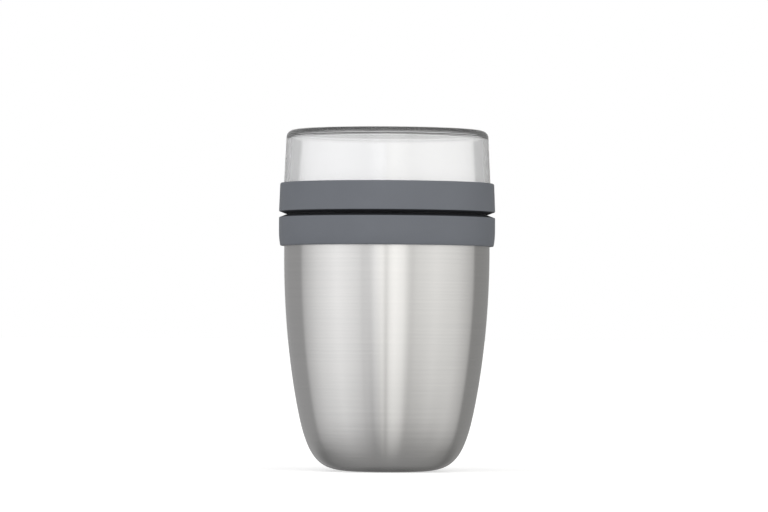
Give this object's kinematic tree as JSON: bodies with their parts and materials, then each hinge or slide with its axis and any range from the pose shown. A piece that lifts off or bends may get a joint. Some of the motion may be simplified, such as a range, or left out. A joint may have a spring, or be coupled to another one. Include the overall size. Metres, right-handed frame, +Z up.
{
  "type": "insulated lunch pot",
  "caption": "Double-walled steel lunch pot that tapers to a rounded base, with a grey collar, a grey screw lid with a stopper, and a clear cup screwed upside down into the lid.",
  "frame": {"origin": "centre of the foot, on the surface that the pot stands on", "axes": "+Z up along the pot's axis, on which everything is turned; X and Y lie in the foot's plane"},
  "size_m": [0.1066, 0.1066, 0.1682],
  "materials": {
    "brushed_steel": "fine brushing around the pot",
    "liner_steel": "satin, spun",
    "grey_plastic": "fine matt moulding",
    "clear_plastic": "clear, polished",
    "silicone": "satin",
    "seal_bead": "dull bead",
    "getter_metal": "sintered, dull"
  },
  "bodies": {
    "pot": {"outer_shell": "brushed_steel", "liner": "liner_steel", "base_plate": "brushed_steel", "vacuum_plug": "seal_bead", "getter_ring": "getter_metal", "lower_ring": "grey_plastic", "collar_gasket": "silicone"},
    "lid_seal": {"lid_gasket": "silicone"},
    "lid": {"upper_ring": "grey_plastic", "stopper": "grey_plastic"},
    "cup_seal": {"cup_gasket": "silicone"},
    "cup": {"cup": "clear_plastic"}
  },
  "joints": [
    {"name": "lid_rise", "type": "slide", "parent": "pot", "child": "lid_seal", "axis": [0, 0, 1], "range_m": [0, 0.0361]},
    {"name": "lid_turn", "type": "hinge", "parent": "lid_seal", "child": "lid", "pos_m": [0, 0, 0.1265], "axis": [0, 0, 1], "range_deg": [0, 1080]},
    {"name": "cup_turn", "type": "hinge", "parent": "lid", "child": "cup_seal", "pos_m": [0, 0, 0.1325], "axis": [0, 0, 1], "range_deg": [0, 1080]},
    {"name": "cup_rise", "type": "slide", "parent": "cup_seal", "child": "cup", "axis": [0, 0, 1], "range_m": [0, 0.0271]}
  ],
  "couplings": [
    {"joint": "lid_rise", "follows": "lid_turn", "m_per_rad": 0.0019099},
    {"joint": "cup_rise", "follows": "cup_turn", "m_per_rad": 0.0014324}
  ]
}
